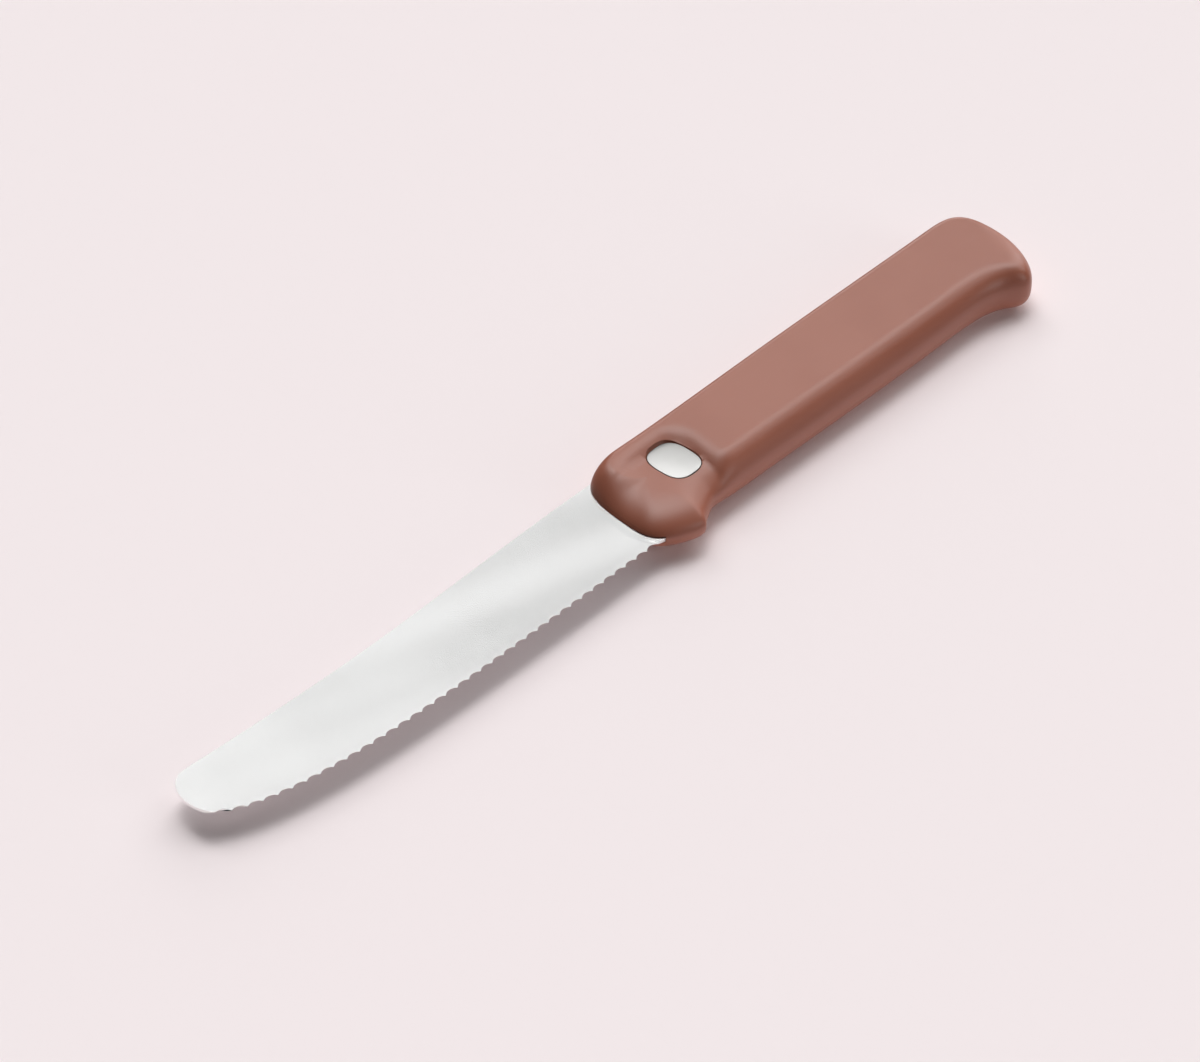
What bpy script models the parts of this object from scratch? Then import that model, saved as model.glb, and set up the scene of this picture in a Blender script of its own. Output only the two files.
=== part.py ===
# Vegetable knife: a blunt-tipped, serrated blade moulded into a plastic handle.
# The knife lies on its right side. X runs from the blade's tip (-X) to the
# pommel (+X), the cutting edge faces -Y and the badge faces +Z. Metres.
# The pieces are drawn with x = 0 at the front of the handle, y = 0 on the line
# through the tooth tips at the heel and z = 0 in the middle of the blade. An
# empty then carries them all to the origin below the middle of the knife.

import math

import bmesh
import bpy
import numpy as np
from mathutils import Vector, geometry

# Clearance between neighbouring pieces
FIT = 0.0003

# Blade
BLADE_REACH = 0.1076
HEEL_HEIGHT = 0.0209
STOCK_THICKNESS = 0.0012
TIP_THICKNESS = 0.0008
EDGE_SIDE_THICKNESS = 0.0008
SPINE_HOLLOW = 0.0012
SPINE_HOLLOW_PLACE = 0.0606
SPINE_FLARE = 0.0015
SPINE_FLARE_POWER = 1.7
BELLY_RUN = 0.1155
BELLY_RISE = 0.0108
BELLY_POWER = 5.3
BELLY_FULLNESS = 1.7
TIP_LOWER_SETBACK = 0.0010
TIP_UPPER_SETBACK = 0.0055
TIP_SWELL = 0.0015
TIP_LOWER_PULL = 0.0024
TIP_UPPER_PULL = 0.00045
TIP_CROWN = 0.0003
PLUNGE_SETBACK = 0.00015
PLUNGE_WIDTH = 0.0006

# Serration, ground as slanted flutes on the right face only
TOOTH_PITCH = 0.0030
TOOTH_DEPTH = 0.0007
FIRST_TOOTH_PLACE = 0.0005
FLUTE_ANGLE = math.radians(15)
EDGE_THICKNESS = 0.00012

# Tang
SHOULDER_RADIUS = 0.0023
TANG_FILLET = 0.0015
TANG_TAIL_RADIUS = 0.0030
TANG_TAIL_COVER = 0.0420
KEY_HOLE_RADIUS = 0.0024
KEY_HOLE_END_DISTANCE = 0.0110

# Handle outside
HANDLE_LENGTH = 0.1161
GRIP_HEIGHT = 0.0216
HANDLE_THICKNESS = 0.0110
SPINE_COVER = 0.0014
SPINE_ROUND = 0.0026
GRIP_ROUND = 0.0050
FRONT_ROUND = 0.0071
POMMEL_ROUND = 0.0033
LEAST_ROUND = 0.0006
EDGE_SQUARENESS = 2.2
FRONT_CORNER = 0.0029
GUARD_PLACE = 0.0105
GUARD_DEPTH = 0.0039
NECK_PLACE = 0.0192
HOOK_SETBACK = 0.0075
HOOK_DEPTH = 0.0035
HOOK_NECK_SETBACK = 0.0263
BUTT_CORNER = 0.0026
BUTT_CORNER_SETBACK = 0.0135

# Handle inside
SKIN_WALL = 0.0024
CORE_SETBACK = 0.0052
CORE_WEB = 0.0024

# Badge and the dish that it lies in
BADGE_PLACE = 0.0173
BADGE_MIDDLE = 0.0112
BADGE_LENGTH = 0.0085
BADGE_HEIGHT = 0.0103
BADGE_THICKNESS = 0.0005
BADGE_CHAMFER = 0.0001
BADGE_SQUARENESS = 2.85
PAD_THICKNESS = 0.0002
PAD_INSET = 0.0006
DISH_DEPTH = 0.0014
DISH_MARGIN = 0.0005
DISH_WALL = 0.0057
DISH_WALL_POWER = 1.8
DISH_CORNER = 0.0030
DISH_SLANT = math.radians(13)

# How far a cutter reaches past the surface that it cuts
CUT_OVER = 0.0005
CUT_CLEAR = 0.0050

# Fineness of the facets, and the angle from which a corner looks sharp
CORNER_ANGLE = math.radians(35)
BELLY_SAMPLES = 2000
OUTLINE_STEPS = 72
ROUND_STEPS = 12
TOOTH_STEPS = 6
TIP_STEPS = 12
SPINE_STEPS = 24
PLUNGE_STEPS = 8
BADGE_STEPS = 40
HOLE_STEPS = 24
CORNER_STEPS = 6
DISH_STEPS = 4

# Places that follow from the sizes above
TIP_X = -BLADE_REACH
SPINE_LINE = HEEL_HEIGHT + SPINE_COVER
GRIP_LINE = SPINE_LINE - GRIP_HEIGHT
GUARD_LINE = GRIP_LINE - GUARD_DEPTH
GRIP_MIDDLE = (SPINE_LINE + GRIP_LINE) / 2
HALF_THICKNESS = HANDLE_THICKNESS / 2
HALF_STOCK = STOCK_THICKNESS / 2
TANG_HALF_HEIGHT = GRIP_HEIGHT / 2 - SKIN_WALL - CORE_WEB - 2 * FIT
TANG_TAIL_X = HANDLE_LENGTH - TANG_TAIL_COVER
CORE_PLACE = BADGE_PLACE + BADGE_LENGTH / 2 + CORE_SETBACK
KEY_HOLE_XS = (
    CORE_PLACE + KEY_HOLE_END_DISTANCE,
    TANG_TAIL_X - KEY_HOLE_END_DISTANCE,
)
BADGE_TOP = HALF_THICKNESS - DISH_DEPTH
BADGE_BOTTOM = BADGE_TOP - BADGE_THICKNESS
PAD_TOP = BADGE_BOTTOM - FIT
PAD_BOTTOM = PAD_TOP - PAD_THICKNESS
RECESS_FLOOR = PAD_BOTTOM - FIT


# A closed cubic spline through a few points of an outline
def closed_spline(points, count):
    points = np.array(points)
    steps = np.roll(points, -1, axis=0) - points
    spans = np.sqrt(np.linalg.norm(steps, axis=1))
    size = len(points)
    matrix = np.zeros((size, size))
    right = np.zeros((size, 2))
    for i in range(size):
        before = spans[i - 1]
        after = spans[i]
        matrix[i, i - 1] = 1 / before
        matrix[i, i] = 2 / before + 2 / after
        matrix[i, (i + 1) % size] = 1 / after
        right[i] = 3 * (steps[i - 1] / before**2 + steps[i] / after**2)
    slopes = np.linalg.solve(matrix, right)
    starts = np.concatenate([[0], np.cumsum(spans)])
    curve = []
    for place in np.linspace(0, starts[-1], count, endpoint=False):
        i = np.searchsorted(starts, place, side="right") - 1
        u = (place - starts[i]) / spans[i]
        after = (i + 1) % size
        curve.append(
            (2 * u**3 - 3 * u**2 + 1) * points[i]
            + (3 * u**2 - 2 * u**3) * points[after]
            + spans[i] * (u**3 - 2 * u**2 + u) * slopes[i]
            + spans[i] * (u**3 - u**2) * slopes[after]
        )
    return np.array(curve)


# The handle's widest outline: the front, the spine side, the pommel and the grip
def handle_outline(count):
    butt = HANDLE_LENGTH
    return closed_spline(
        [
            (0, SPINE_LINE - 0.70 * GRIP_HEIGHT),
            (FRONT_CORNER, SPINE_LINE - 0.85 * FRONT_CORNER),
            (FRONT_CORNER * 5, SPINE_LINE - 0.08 * FRONT_CORNER),
            (butt * 0.47, SPINE_LINE),
            (butt - BUTT_CORNER_SETBACK, SPINE_LINE),
            (butt - BUTT_CORNER, SPINE_LINE - 0.8 * BUTT_CORNER),
            (butt - 0.15 * BUTT_CORNER, SPINE_LINE - 0.63 * GRIP_HEIGHT),
            (butt - HOOK_SETBACK, GRIP_LINE - HOOK_DEPTH),
            (butt - HOOK_SETBACK * 1.8, GRIP_LINE - 0.38 * HOOK_DEPTH),
            (butt - HOOK_NECK_SETBACK, GRIP_LINE),
            (butt * 0.53, GRIP_LINE - 0.02 * HOOK_DEPTH),
            (NECK_PLACE, GRIP_LINE + 0.05 * GUARD_DEPTH),
            (NECK_PLACE * 0.84, GRIP_LINE - 0.12 * GUARD_DEPTH),
            (GUARD_PLACE * 1.1, GUARD_LINE + 0.18 * GUARD_DEPTH),
            (GUARD_PLACE, GUARD_LINE),
            (GUARD_PLACE * 0.2, GUARD_LINE + 0.92 * GUARD_DEPTH),
        ],
        count,
    )


# Where the front of the handle lies at each height across the blade
def handle_front(heights):
    outline = handle_outline(OUTLINE_STEPS * 8)
    front = outline[outline[:, 0] < GUARD_PLACE]
    order = np.argsort(front[:, 1])
    return np.interp(heights, front[order, 1], front[order, 0])


# Where the full height of the blade ends inside the handle
def shoulder_start():
    return float(handle_front(HEEL_HEIGHT)) + PLUNGE_WIDTH


# The spine dips slightly between the handle and the tip
def spine_height(x):
    waist = -SPINE_HOLLOW_PLACE
    low = HEEL_HEIGHT - SPINE_HOLLOW
    if x > waist:
        u = min((x - waist) / -waist, 1)
        return low + SPINE_HOLLOW * (1 - math.cos(math.pi * u)) / 2
    u = (waist - x) / (waist - TIP_X - TIP_UPPER_SETBACK)
    return low + SPINE_FLARE * u**SPINE_FLARE_POWER


# The line through the tooth tips: straight, then a belly that rises to the tip
def tooth_line(x):
    end = TIP_X + TIP_LOWER_SETBACK
    u = min(max((end + BELLY_RUN - x) / BELLY_RUN, 0), 1)
    return BELLY_RISE * (1 - (1 - u**BELLY_POWER) ** (1 / BELLY_FULLNESS))


# Half of the blade's thickness, which falls evenly towards the edge and the tip
def half_blade(x, y):
    to_edge = (STOCK_THICKNESS - EDGE_SIDE_THICKNESS) / 2 / HEEL_HEIGHT
    to_tip = (STOCK_THICKNESS - TIP_THICKNESS) / 2 / BLADE_REACH
    return HALF_STOCK - to_edge * (HEEL_HEIGHT - y) + to_tip * x


# Evenly spaced places along the tooth line, a whole number of teeth from the heel
def tooth_line_stations():
    end = TIP_X + TIP_LOWER_SETBACK
    finer_at_tip = 1 - np.linspace(1, 0, BELLY_SAMPLES) ** 2
    xs = FIRST_TOOTH_PLACE + (end - FIRST_TOOTH_PLACE) * finer_at_tip
    ys = np.array([tooth_line(x) for x in xs])
    lengths = np.concatenate([[0], np.cumsum(np.hypot(np.diff(xs), np.diff(ys)))])
    teeth = int(lengths[-1] / TOOTH_PITCH)
    places = np.arange(teeth * TOOTH_STEPS + 1) * TOOTH_PITCH / TOOTH_STEPS
    return np.interp(places, lengths, xs), np.interp(places, lengths, ys)


# The scalloped edge and the upper ends of its flutes, from the heel to the tip
def serration():
    xs, ys = tooth_line_stations()
    half_pitch = TOOTH_PITCH / 2
    radius = (half_pitch**2 + TOOTH_DEPTH**2) / (2 * TOOTH_DEPTH)
    last = len(xs) - 1
    edge = []
    flutes = []
    for i in range(len(xs)):
        before = max(i - 1, 0)
        after = min(i + 1, last)
        along = Vector((xs[after] - xs[before], ys[after] - ys[before])).normalized()
        inward = Vector((along.y, -along.x))
        across = (2 * (i % TOOTH_STEPS) / TOOTH_STEPS - 1) * half_pitch
        inset = math.sqrt(radius**2 - across**2) - (radius - TOOTH_DEPTH)
        point = Vector((xs[i], ys[i])) + inward * inset
        depth = 2 * half_blade(point.x, point.y) - EDGE_THICKNESS
        edge.append(point)
        flutes.append(point + inward * depth / math.tan(FLUTE_ANGLE))
    flutes[0] = edge[0]
    flutes[last] = edge[last]
    return edge, flutes


# The blunt tip, one curve from the last tooth up and over to the spine
def tip_curve():
    low = serration()[0][-1].to_3d()
    high_x = TIP_X + TIP_UPPER_SETBACK
    high = Vector((high_x, spine_height(high_x), 0))
    low_pull = Vector((TIP_X - TIP_SWELL, BELLY_RISE + TIP_LOWER_PULL, 0))
    high_pull = Vector((TIP_X - TIP_UPPER_PULL, high.y + TIP_CROWN, 0))
    curve = geometry.interpolate_bezier(low, low_pull, high_pull, high, TIP_STEPS + 1)
    return [point.to_2d() for point in curve]


# The back edge of the ground faces, just ahead of the handle, spine side first
def plunge_line(shift):
    heights = np.linspace(HEEL_HEIGHT, 0, PLUNGE_STEPS + 1)
    xs = handle_front(heights) - PLUNGE_SETBACK + shift
    return [Vector((x, y)) for x, y in zip(xs, heights)]


# A quarter of a circle in the plan, from a starting angle in degrees
def quarter(x, y, radius, start):
    angles = np.radians(np.linspace(start, start + 90, CORNER_STEPS + 1))
    return [Vector((x + radius * math.cos(a), y + radius * math.sin(a))) for a in angles]


# Heel shoulders, fillets and tang, from the edge side round to the spine side
def tang_plan(grow):
    inner = shoulder_start()
    low = GRIP_MIDDLE - TANG_HALF_HEIGHT
    high = GRIP_MIDDLE + TANG_HALF_HEIGHT
    fillet_x = inner + SHOULDER_RADIUS + TANG_FILLET
    tail_x = TANG_TAIL_X - TANG_TAIL_RADIUS
    shoulder = SHOULDER_RADIUS + grow
    fillet = TANG_FILLET - grow
    tail = TANG_TAIL_RADIUS + grow
    plan = quarter(inner, SHOULDER_RADIUS, shoulder, -90)
    plan += quarter(fillet_x, low - TANG_FILLET, fillet, 90)[::-1]
    plan += quarter(tail_x, low + TANG_TAIL_RADIUS, tail, -90)
    plan += quarter(tail_x, high - TANG_TAIL_RADIUS, tail, 0)
    plan += quarter(fillet_x, high + TANG_FILLET, fillet, 180)[::-1]
    plan += quarter(inner, HEEL_HEIGHT - SHOULDER_RADIUS, shoulder, 0)
    return plan


# A rounded square with superellipse sides, as the badge and its recess have
def squircle(grow):
    points = []
    for a in np.linspace(0, 2 * math.pi, BADGE_STEPS, endpoint=False):
        across = math.copysign(abs(math.cos(a)) ** (2 / BADGE_SQUARENESS), math.cos(a))
        up = math.copysign(abs(math.sin(a)) ** (2 / BADGE_SQUARENESS), math.sin(a))
        x = BADGE_PLACE + (BADGE_LENGTH / 2 + grow) * across
        y = BADGE_MIDDLE + (BADGE_HEIGHT / 2 + grow) * up
        points.append(Vector((x, y)))
    return points


# The dish in the plan: a wall behind the badge that turns to run along its spine
# side and slants away to the front, and open sides past the handle's edge
def dish_plan(grow):
    foot_x = BADGE_PLACE + BADGE_LENGTH / 2 + DISH_MARGIN
    foot_y = BADGE_MIDDLE + BADGE_HEIGHT / 2 + DISH_MARGIN
    low = GUARD_LINE - CUT_CLEAR
    front = -CUT_CLEAR
    radius = DISH_CORNER + grow
    x = foot_x - DISH_CORNER
    y = foot_y - DISH_CORNER
    plan = [Vector((front, low)), Vector((foot_x + grow, low))]
    for a in np.linspace(0, math.pi / 2 - DISH_SLANT, CORNER_STEPS + 1):
        plan.append(Vector((x + radius * math.cos(a), y + radius * math.sin(a))))
    end = plan[-1]
    plan.append(Vector((front, end.y + (end.x - front) * math.tan(DISH_SLANT))))
    return plan


# The handle's surface as a stack of outlines that draw in over its round edges,
# which are narrow on the spine side and at the pommel and wide on the other sides
def handle_rings(wall):
    outline = handle_outline(OUTLINE_STEPS)
    half = HALF_THICKNESS - wall
    reach = GRIP_HEIGHT / 2
    middle = np.full(len(outline), GRIP_MIDDLE)
    spine_x = np.clip(outline[:, 0], reach, HANDLE_LENGTH - reach)
    inward = np.column_stack([spine_x, middle]) - outline
    inward /= np.linalg.norm(inward, axis=1)[:, None]
    along = np.where(inward[:, 0] > 0, FRONT_ROUND, POMMEL_ROUND)
    across = np.where(inward[:, 1] > 0, GRIP_ROUND, SPINE_ROUND)
    widths = along * inward[:, 0] ** 2 + across * inward[:, 1] ** 2
    widths = np.maximum(widths - wall, LEAST_ROUND)[:, None]
    rings = []
    for angle in np.linspace(-math.pi / 2, math.pi / 2, ROUND_STEPS + 1):
        draw = wall + widths * (1 - math.cos(angle) ** (2 / EDGE_SQUARENESS))
        height = half * abs(math.sin(angle)) ** (2 / EDGE_SQUARENESS)
        level = math.copysign(height, angle)
        rings.append([(x, y, level) for x, y in outline + inward * draw])
    return rings


# Corners of a mesh for points of the plan, at one height each
def corners(mesh, points, heights):
    return [mesh.verts.new((p[0], p[1], z)) for p, z in zip(points, heights)]


# Faces between two rows of corners, where rows that meet leave triangles
def strip(mesh, one, other):
    for a, b, c, d in zip(one, one[1:], other[1:], other):
        mesh.faces.new(tuple(dict.fromkeys((a, b, c, d))))


# A material with a plain colour
def material(name, colour, roughness, metallic):
    made = bpy.data.materials.new(name)
    made.use_nodes = True
    shader = made.node_tree.nodes["Principled BSDF"]
    shader.inputs["Base Color"].default_value = (*colour, 1)
    shader.inputs["Roughness"].default_value = roughness
    shader.inputs["Metallic"].default_value = metallic
    return made


# An object from a mesh, with its faces turned outward
def solid(name, mesh, parent):
    bmesh.ops.recalc_face_normals(mesh, faces=mesh.faces[:])
    data = bpy.data.meshes.new(name)
    mesh.to_mesh(data)
    mesh.free()
    made = bpy.data.objects.new(name, data)
    made.parent = parent
    bpy.context.collection.objects.link(made)
    return made


# A piece of the knife, smooth where it is round and sharp at its corners
def piece(name, mesh, parent, look):
    made = solid(name, mesh, parent)
    made.data.materials.append(look)
    made.data.shade_smooth()
    made.data.set_sharp_from_angle(angle=CORNER_ANGLE)
    return made


# A solid that only cuts others
def cutter(name, mesh, parent):
    made = solid(name, mesh, parent)
    made.hide_render = True
    made.display_type = "WIRE"
    return made


# Cuts one object out of another
def cut(target, tool):
    modifier = target.modifiers.new("cut " + tool.name, "BOOLEAN")
    modifier.operation = "DIFFERENCE"
    modifier.solver = "EXACT"
    modifier.object = tool


# A plan outline lifted to a height
def lift(points, z):
    return [(p[0], p[1], z) for p in points]


# A closed solid from a stack of outlines, bottom first
def stack(rings):
    mesh = bmesh.new()
    rows = [[mesh.verts.new(point) for point in ring] for ring in rings]
    for lower, upper in zip(rows, rows[1:]):
        strip(mesh, lower + lower[:1], upper + upper[:1])
    mesh.faces.new(rows[0])
    mesh.faces.new(rows[-1])
    return mesh


# A solid cut off square at its front, which a flat face then closes
def cut_front(mesh, x):
    everything = mesh.verts[:] + mesh.edges[:] + mesh.faces[:]
    bmesh.ops.bisect_plane(
        mesh, geom=everything, plane_co=(x, 0, 0), plane_no=(-1, 0, 0), clear_outer=True
    )
    rim = [edge for edge in mesh.edges if edge.is_boundary]
    bmesh.ops.holes_fill(mesh, edges=rim, sides=0)
    return mesh


# Round bars across the tang at its key holes
def key_bars(radius, half_length):
    mesh = bmesh.new()
    for x in KEY_HOLE_XS:
        bar = bmesh.ops.create_cone(
            mesh,
            cap_ends=True,
            segments=HOLE_STEPS,
            radius1=radius,
            radius2=radius,
            depth=2 * half_length,
        )
        bmesh.ops.translate(mesh, verts=bar["verts"], vec=(x, GRIP_MIDDLE, 0))
    return mesh


# Blade and tang in one piece: flat ground faces, fluted teeth and a plain tang
def blade_mesh():
    edge, flutes = serration()
    tip = tip_curve()[1:]
    plunge = plunge_line(0)
    spine_xs = np.linspace(tip[-1].x, plunge[0].x, SPINE_STEPS + 1)[1:-1]
    spine = [Vector((x, spine_height(x))) for x in spine_xs]
    back = tip + spine + plunge
    tang = plunge_line(PLUNGE_WIDTH) + tang_plan(0)

    mesh = bmesh.new()
    edge_z = [half_blade(p.x, p.y) for p in edge]
    sharp_z = [z - EDGE_THICKNESS for z in edge_z]
    back_z = [half_blade(p.x, p.y) for p in back]
    edge_top = corners(mesh, edge, edge_z)
    back_top = corners(mesh, back, back_z)
    flute_low = corners(mesh, flutes, [-half_blade(p.x, p.y) for p in flutes])
    inner_low = corners(mesh, edge[1:-1], sharp_z[1:-1])
    edge_low = flute_low[:1] + inner_low + flute_low[-1:]
    back_low = corners(mesh, back, [-z for z in back_z])
    tang_top = corners(mesh, tang, [HALF_STOCK] * len(tang))
    tang_low = corners(mesh, tang, [-HALF_STOCK] * len(tang))

    # The four flat faces and the flutes
    mesh.faces.new(edge_top + back_top)
    mesh.faces.new(flute_low + back_low)
    mesh.faces.new(tang_top)
    mesh.faces.new(tang_low)
    strip(mesh, edge_low, flute_low)

    # The rim of the blade, the plunge on both sides and the rim of the tang
    bend = len(back) - len(plunge)
    turn = len(plunge) - 1
    rim_top = back_top[-1:] + edge_top + back_top[: bend + 1]
    rim_low = back_low[-1:] + edge_low + back_low[: bend + 1]
    strip(mesh, rim_top, rim_low)
    strip(mesh, back_top[bend:], tang_top[: turn + 1])
    strip(mesh, back_low[bend:], tang_low[: turn + 1])
    mesh.faces.new((back_top[bend], tang_top[0], tang_low[0], back_low[bend]))
    mesh.faces.new((back_top[-1], tang_top[turn], tang_low[turn], back_low[-1]))
    strip(mesh, tang_top[turn:] + tang_top[:1], tang_low[turn:] + tang_low[:1])
    return mesh


# The room that the tang takes in the handle, open towards the blade
def tang_room_mesh():
    front = [Vector((-CUT_CLEAR, HEEL_HEIGHT + FIT)), Vector((-CUT_CLEAR, -FIT))]
    plan = tang_plan(FIT) + front
    half = HALF_STOCK + FIT
    return stack([lift(plan, -half), lift(plan, half)])


# The dish: a flat floor on the badge's level and a wall that is steepest at its foot
def dish_mesh():
    rings = []
    for u in np.linspace(0, 1, DISH_STEPS + 1):
        rise = (DISH_DEPTH + CUT_OVER) * (1 - (1 - u) ** DISH_WALL_POWER)
        rings.append(lift(dish_plan(DISH_WALL * u), BADGE_TOP + rise))
    return stack(rings)


# A prism of the badge's outline
def badge_prism(grow, low, high):
    return stack([lift(squircle(grow), low), lift(squircle(grow), high)])


# The badge: a thin plate with its upper rim broken
def badge_mesh():
    shoulder = BADGE_TOP - BADGE_CHAMFER
    return stack(
        [
            lift(squircle(0), BADGE_BOTTOM),
            lift(squircle(0), shoulder),
            lift(squircle(-BADGE_CHAMFER), BADGE_TOP),
        ]
    )


# An empty that carries the knife, with the origin below the middle of it
def carrier():
    outline = handle_outline(OUTLINE_STEPS)
    tip_x = min(point.x for point in tip_curve())
    middle_x = (tip_x + outline[:, 0].max()) / 2
    middle_y = (outline[:, 1].min() + outline[:, 1].max()) / 2
    knife = bpy.data.objects.new("knife", None)
    knife.location = (-middle_x, -middle_y, HALF_THICKNESS)
    bpy.context.collection.objects.link(knife)
    return knife


def build():
    for old in list(bpy.data.objects):
        bpy.data.objects.remove(old)

    knife = carrier()
    steel = material("satin steel", (0.60, 0.60, 0.59), 0.25, 1)
    bright = material("brushed steel", (0.58, 0.57, 0.55), 0.35, 1)
    brown = material("terracotta plastic", (0.30, 0.13, 0.09), 0.45, 0)
    hard = material("hard brown plastic", (0.20, 0.09, 0.06), 0.60, 0)
    glue = material("adhesive film", (0.75, 0.73, 0.68), 0.70, 0)

    bar_half = HALF_STOCK + CUT_OVER
    holes = cutter("key holes", key_bars(KEY_HOLE_RADIUS, bar_half), knife)
    posts = cutter("key posts", key_bars(KEY_HOLE_RADIUS - FIT, bar_half), knife)
    tang_room = cutter("tang room", tang_room_mesh(), knife)
    cut(tang_room, posts)
    core_room = stack(handle_rings(SKIN_WALL))
    cavity = cutter("core room", cut_front(core_room, CORE_PLACE), knife)
    dish = cutter("dish", dish_mesh(), knife)
    recess_mesh = badge_prism(FIT, RECESS_FLOOR, HALF_THICKNESS + CUT_OVER)
    recess = cutter("badge recess", recess_mesh, knife)

    blade = piece("blade", blade_mesh(), knife, steel)
    cut(blade, holes)

    core_body = cut_front(stack(handle_rings(SKIN_WALL + FIT)), CORE_PLACE + FIT)
    core = piece("handle_core", core_body, knife, hard)
    cut(core, tang_room)

    skin = piece("handle_skin", stack(handle_rings(0)), knife, brown)
    for tool in (cavity, tang_room, dish, recess):
        cut(skin, tool)

    piece("badge", badge_mesh(), knife, bright)
    pad_mesh = badge_prism(-PAD_INSET, PAD_BOTTOM, PAD_TOP)
    piece("badge_adhesive", pad_mesh, knife, glue)


build()
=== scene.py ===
import math

import bmesh
import bpy
import numpy as np
from mathutils import Matrix, Vector


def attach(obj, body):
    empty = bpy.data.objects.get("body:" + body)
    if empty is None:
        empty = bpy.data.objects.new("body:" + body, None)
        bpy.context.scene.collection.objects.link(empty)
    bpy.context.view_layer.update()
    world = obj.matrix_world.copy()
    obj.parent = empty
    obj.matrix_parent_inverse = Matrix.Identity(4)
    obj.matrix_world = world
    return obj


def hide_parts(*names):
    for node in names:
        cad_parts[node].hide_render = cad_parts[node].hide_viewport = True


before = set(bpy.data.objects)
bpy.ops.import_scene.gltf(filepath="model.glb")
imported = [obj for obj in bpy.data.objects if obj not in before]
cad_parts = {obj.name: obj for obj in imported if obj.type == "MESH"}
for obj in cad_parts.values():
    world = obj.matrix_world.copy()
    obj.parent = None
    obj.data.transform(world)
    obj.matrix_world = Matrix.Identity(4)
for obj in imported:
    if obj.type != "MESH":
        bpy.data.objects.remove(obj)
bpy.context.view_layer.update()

# The pieces are drawn with x = 0 at the front of the handle, y = 0 on the line through
# the tooth tips and z = 0 in the middle of the blade. This carries them to the frame.
drawnFrom = Vector((-0.00418983, -0.0095813, 0.0055))


class Wire:
    def __init__(self, shader, socket):
        self.shader = shader
        self.socket = socket

    def math(self, operation, *values):
        return self.shader.math(operation, *values)

    def __add__(self, other):
        return self.math("ADD", self, other)

    def __radd__(self, other):
        return self.math("ADD", other, self)

    def __sub__(self, other):
        return self.math("SUBTRACT", self, other)

    def __rsub__(self, other):
        return self.math("SUBTRACT", other, self)

    def __mul__(self, other):
        return self.math("MULTIPLY", self, other)

    def __rmul__(self, other):
        return self.math("MULTIPLY", other, self)


class Shader:
    def __init__(self, owner):
        owner.use_nodes = True
        self.owner = owner
        self.tree = owner.node_tree
        self.tree.nodes.clear()

    def node(self, kind, settings=None, inputs=(), output=0):
        made = self.tree.nodes.new(kind)
        for key, value in (settings or {}).items():
            setattr(made, key, value)
        pairs = inputs.items() if isinstance(inputs, dict) else enumerate(inputs)
        for key, value in pairs:
            if isinstance(value, Wire):
                self.tree.links.new(value.socket, made.inputs[key])
            else:
                made.inputs[key].default_value = value
        return Wire(self, made.outputs[output] if made.outputs else None)

    def math(self, operation, *values):
        return self.node("ShaderNodeMath", {"operation": operation}, values)

    def place(self):
        return self.node("ShaderNodeTexCoord", output="Object")

    def path(self, ray):
        return self.node("ShaderNodeLightPath", output=ray)

    def noise(self, scale, detail=2.0, roughness=0.5, stretch=(1, 1, 1)):
        where = self.node(
            "ShaderNodeMapping", {}, {"Vector": self.place(), "Scale": stretch}
        )
        return self.node(
            "ShaderNodeTexNoise", {},
            {"Vector": where, "Scale": scale, "Detail": detail, "Roughness": roughness},
        )

    def axes(self):
        split = self.node("ShaderNodeSeparateXYZ", {}, {"Vector": self.place()})
        return [Wire(self, out) for out in split.socket.node.outputs]

    def smooth(self, value, low, high):
        return self.node(
            "ShaderNodeMapRange", {"interpolation_type": "SMOOTHSTEP"},
            {"Value": value, "From Min": low, "From Max": high},
        )

    def mix(self, factor, one, other):
        settings = {"data_type": "RGBA"}
        return self.node("ShaderNodeMix", settings, {0: factor, 6: one, 7: other}, output=2)

    def bump(self, height, strength, distance, **under):
        inputs = {"Height": height, "Strength": strength, "Distance": distance, **under}
        return self.node("ShaderNodeBump", {}, inputs)

    def finish(self, **inputs):
        named = {name.replace("_", " "): value for name, value in inputs.items()}
        surface = self.node("ShaderNodeBsdfPrincipled", {}, named)
        self.node("ShaderNodeOutputMaterial", {}, {"Surface": surface})
        return self.owner


def newMaterial(name):
    return Shader(bpy.data.materials.new(name))


# Satin moulded plastic. Noise scales are in turns per metre: 55 makes clouds some 20 mm
# wide, and 5200 a grain of a fifth of a millimetre.
handleFinish = {
    "colour": (0.329, 0.110, 0.0675, 1),
    "paler": (0.343, 0.116, 0.0715, 1),  # it clouds softly between the two
    "cloudScale": 55,
    "cloudFrom": 0.35,
    "cloudTo": 0.65,
    "roughness": 0.36,
    "roughnessSwing": 0.03,
    "grainScale": 5200,
    "grainHeight": 0.00006,
    "grainStrength": 0.25,
}

coreFinish = {
    **handleFinish,
    "colour": (0.20, 0.09, 0.06, 1),
    "paler": (0.22, 0.10, 0.07, 1),
    "roughness": 0.58,
    "grainHeight": 0.0001,
}


def moulded(name, finish):
    made = newMaterial(name)
    cloud = made.noise(finish["cloudScale"], 3)
    grain = made.noise(finish["grainScale"], 2, 0.6)
    tone = made.smooth(cloud, finish["cloudFrom"], finish["cloudTo"])
    swing = finish["roughnessSwing"]
    return made.finish(
        Base_Color=made.mix(tone, finish["colour"], finish["paler"]),
        Roughness=finish["roughness"] + swing * tone + swing * (grain - 0.5),
        Normal=made.bump(grain, finish["grainStrength"], finish["grainHeight"]),
    )


handlePlastic = moulded("handlePlastic", handleFinish)
corePlastic = moulded("corePlastic", coreFinish)

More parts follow.
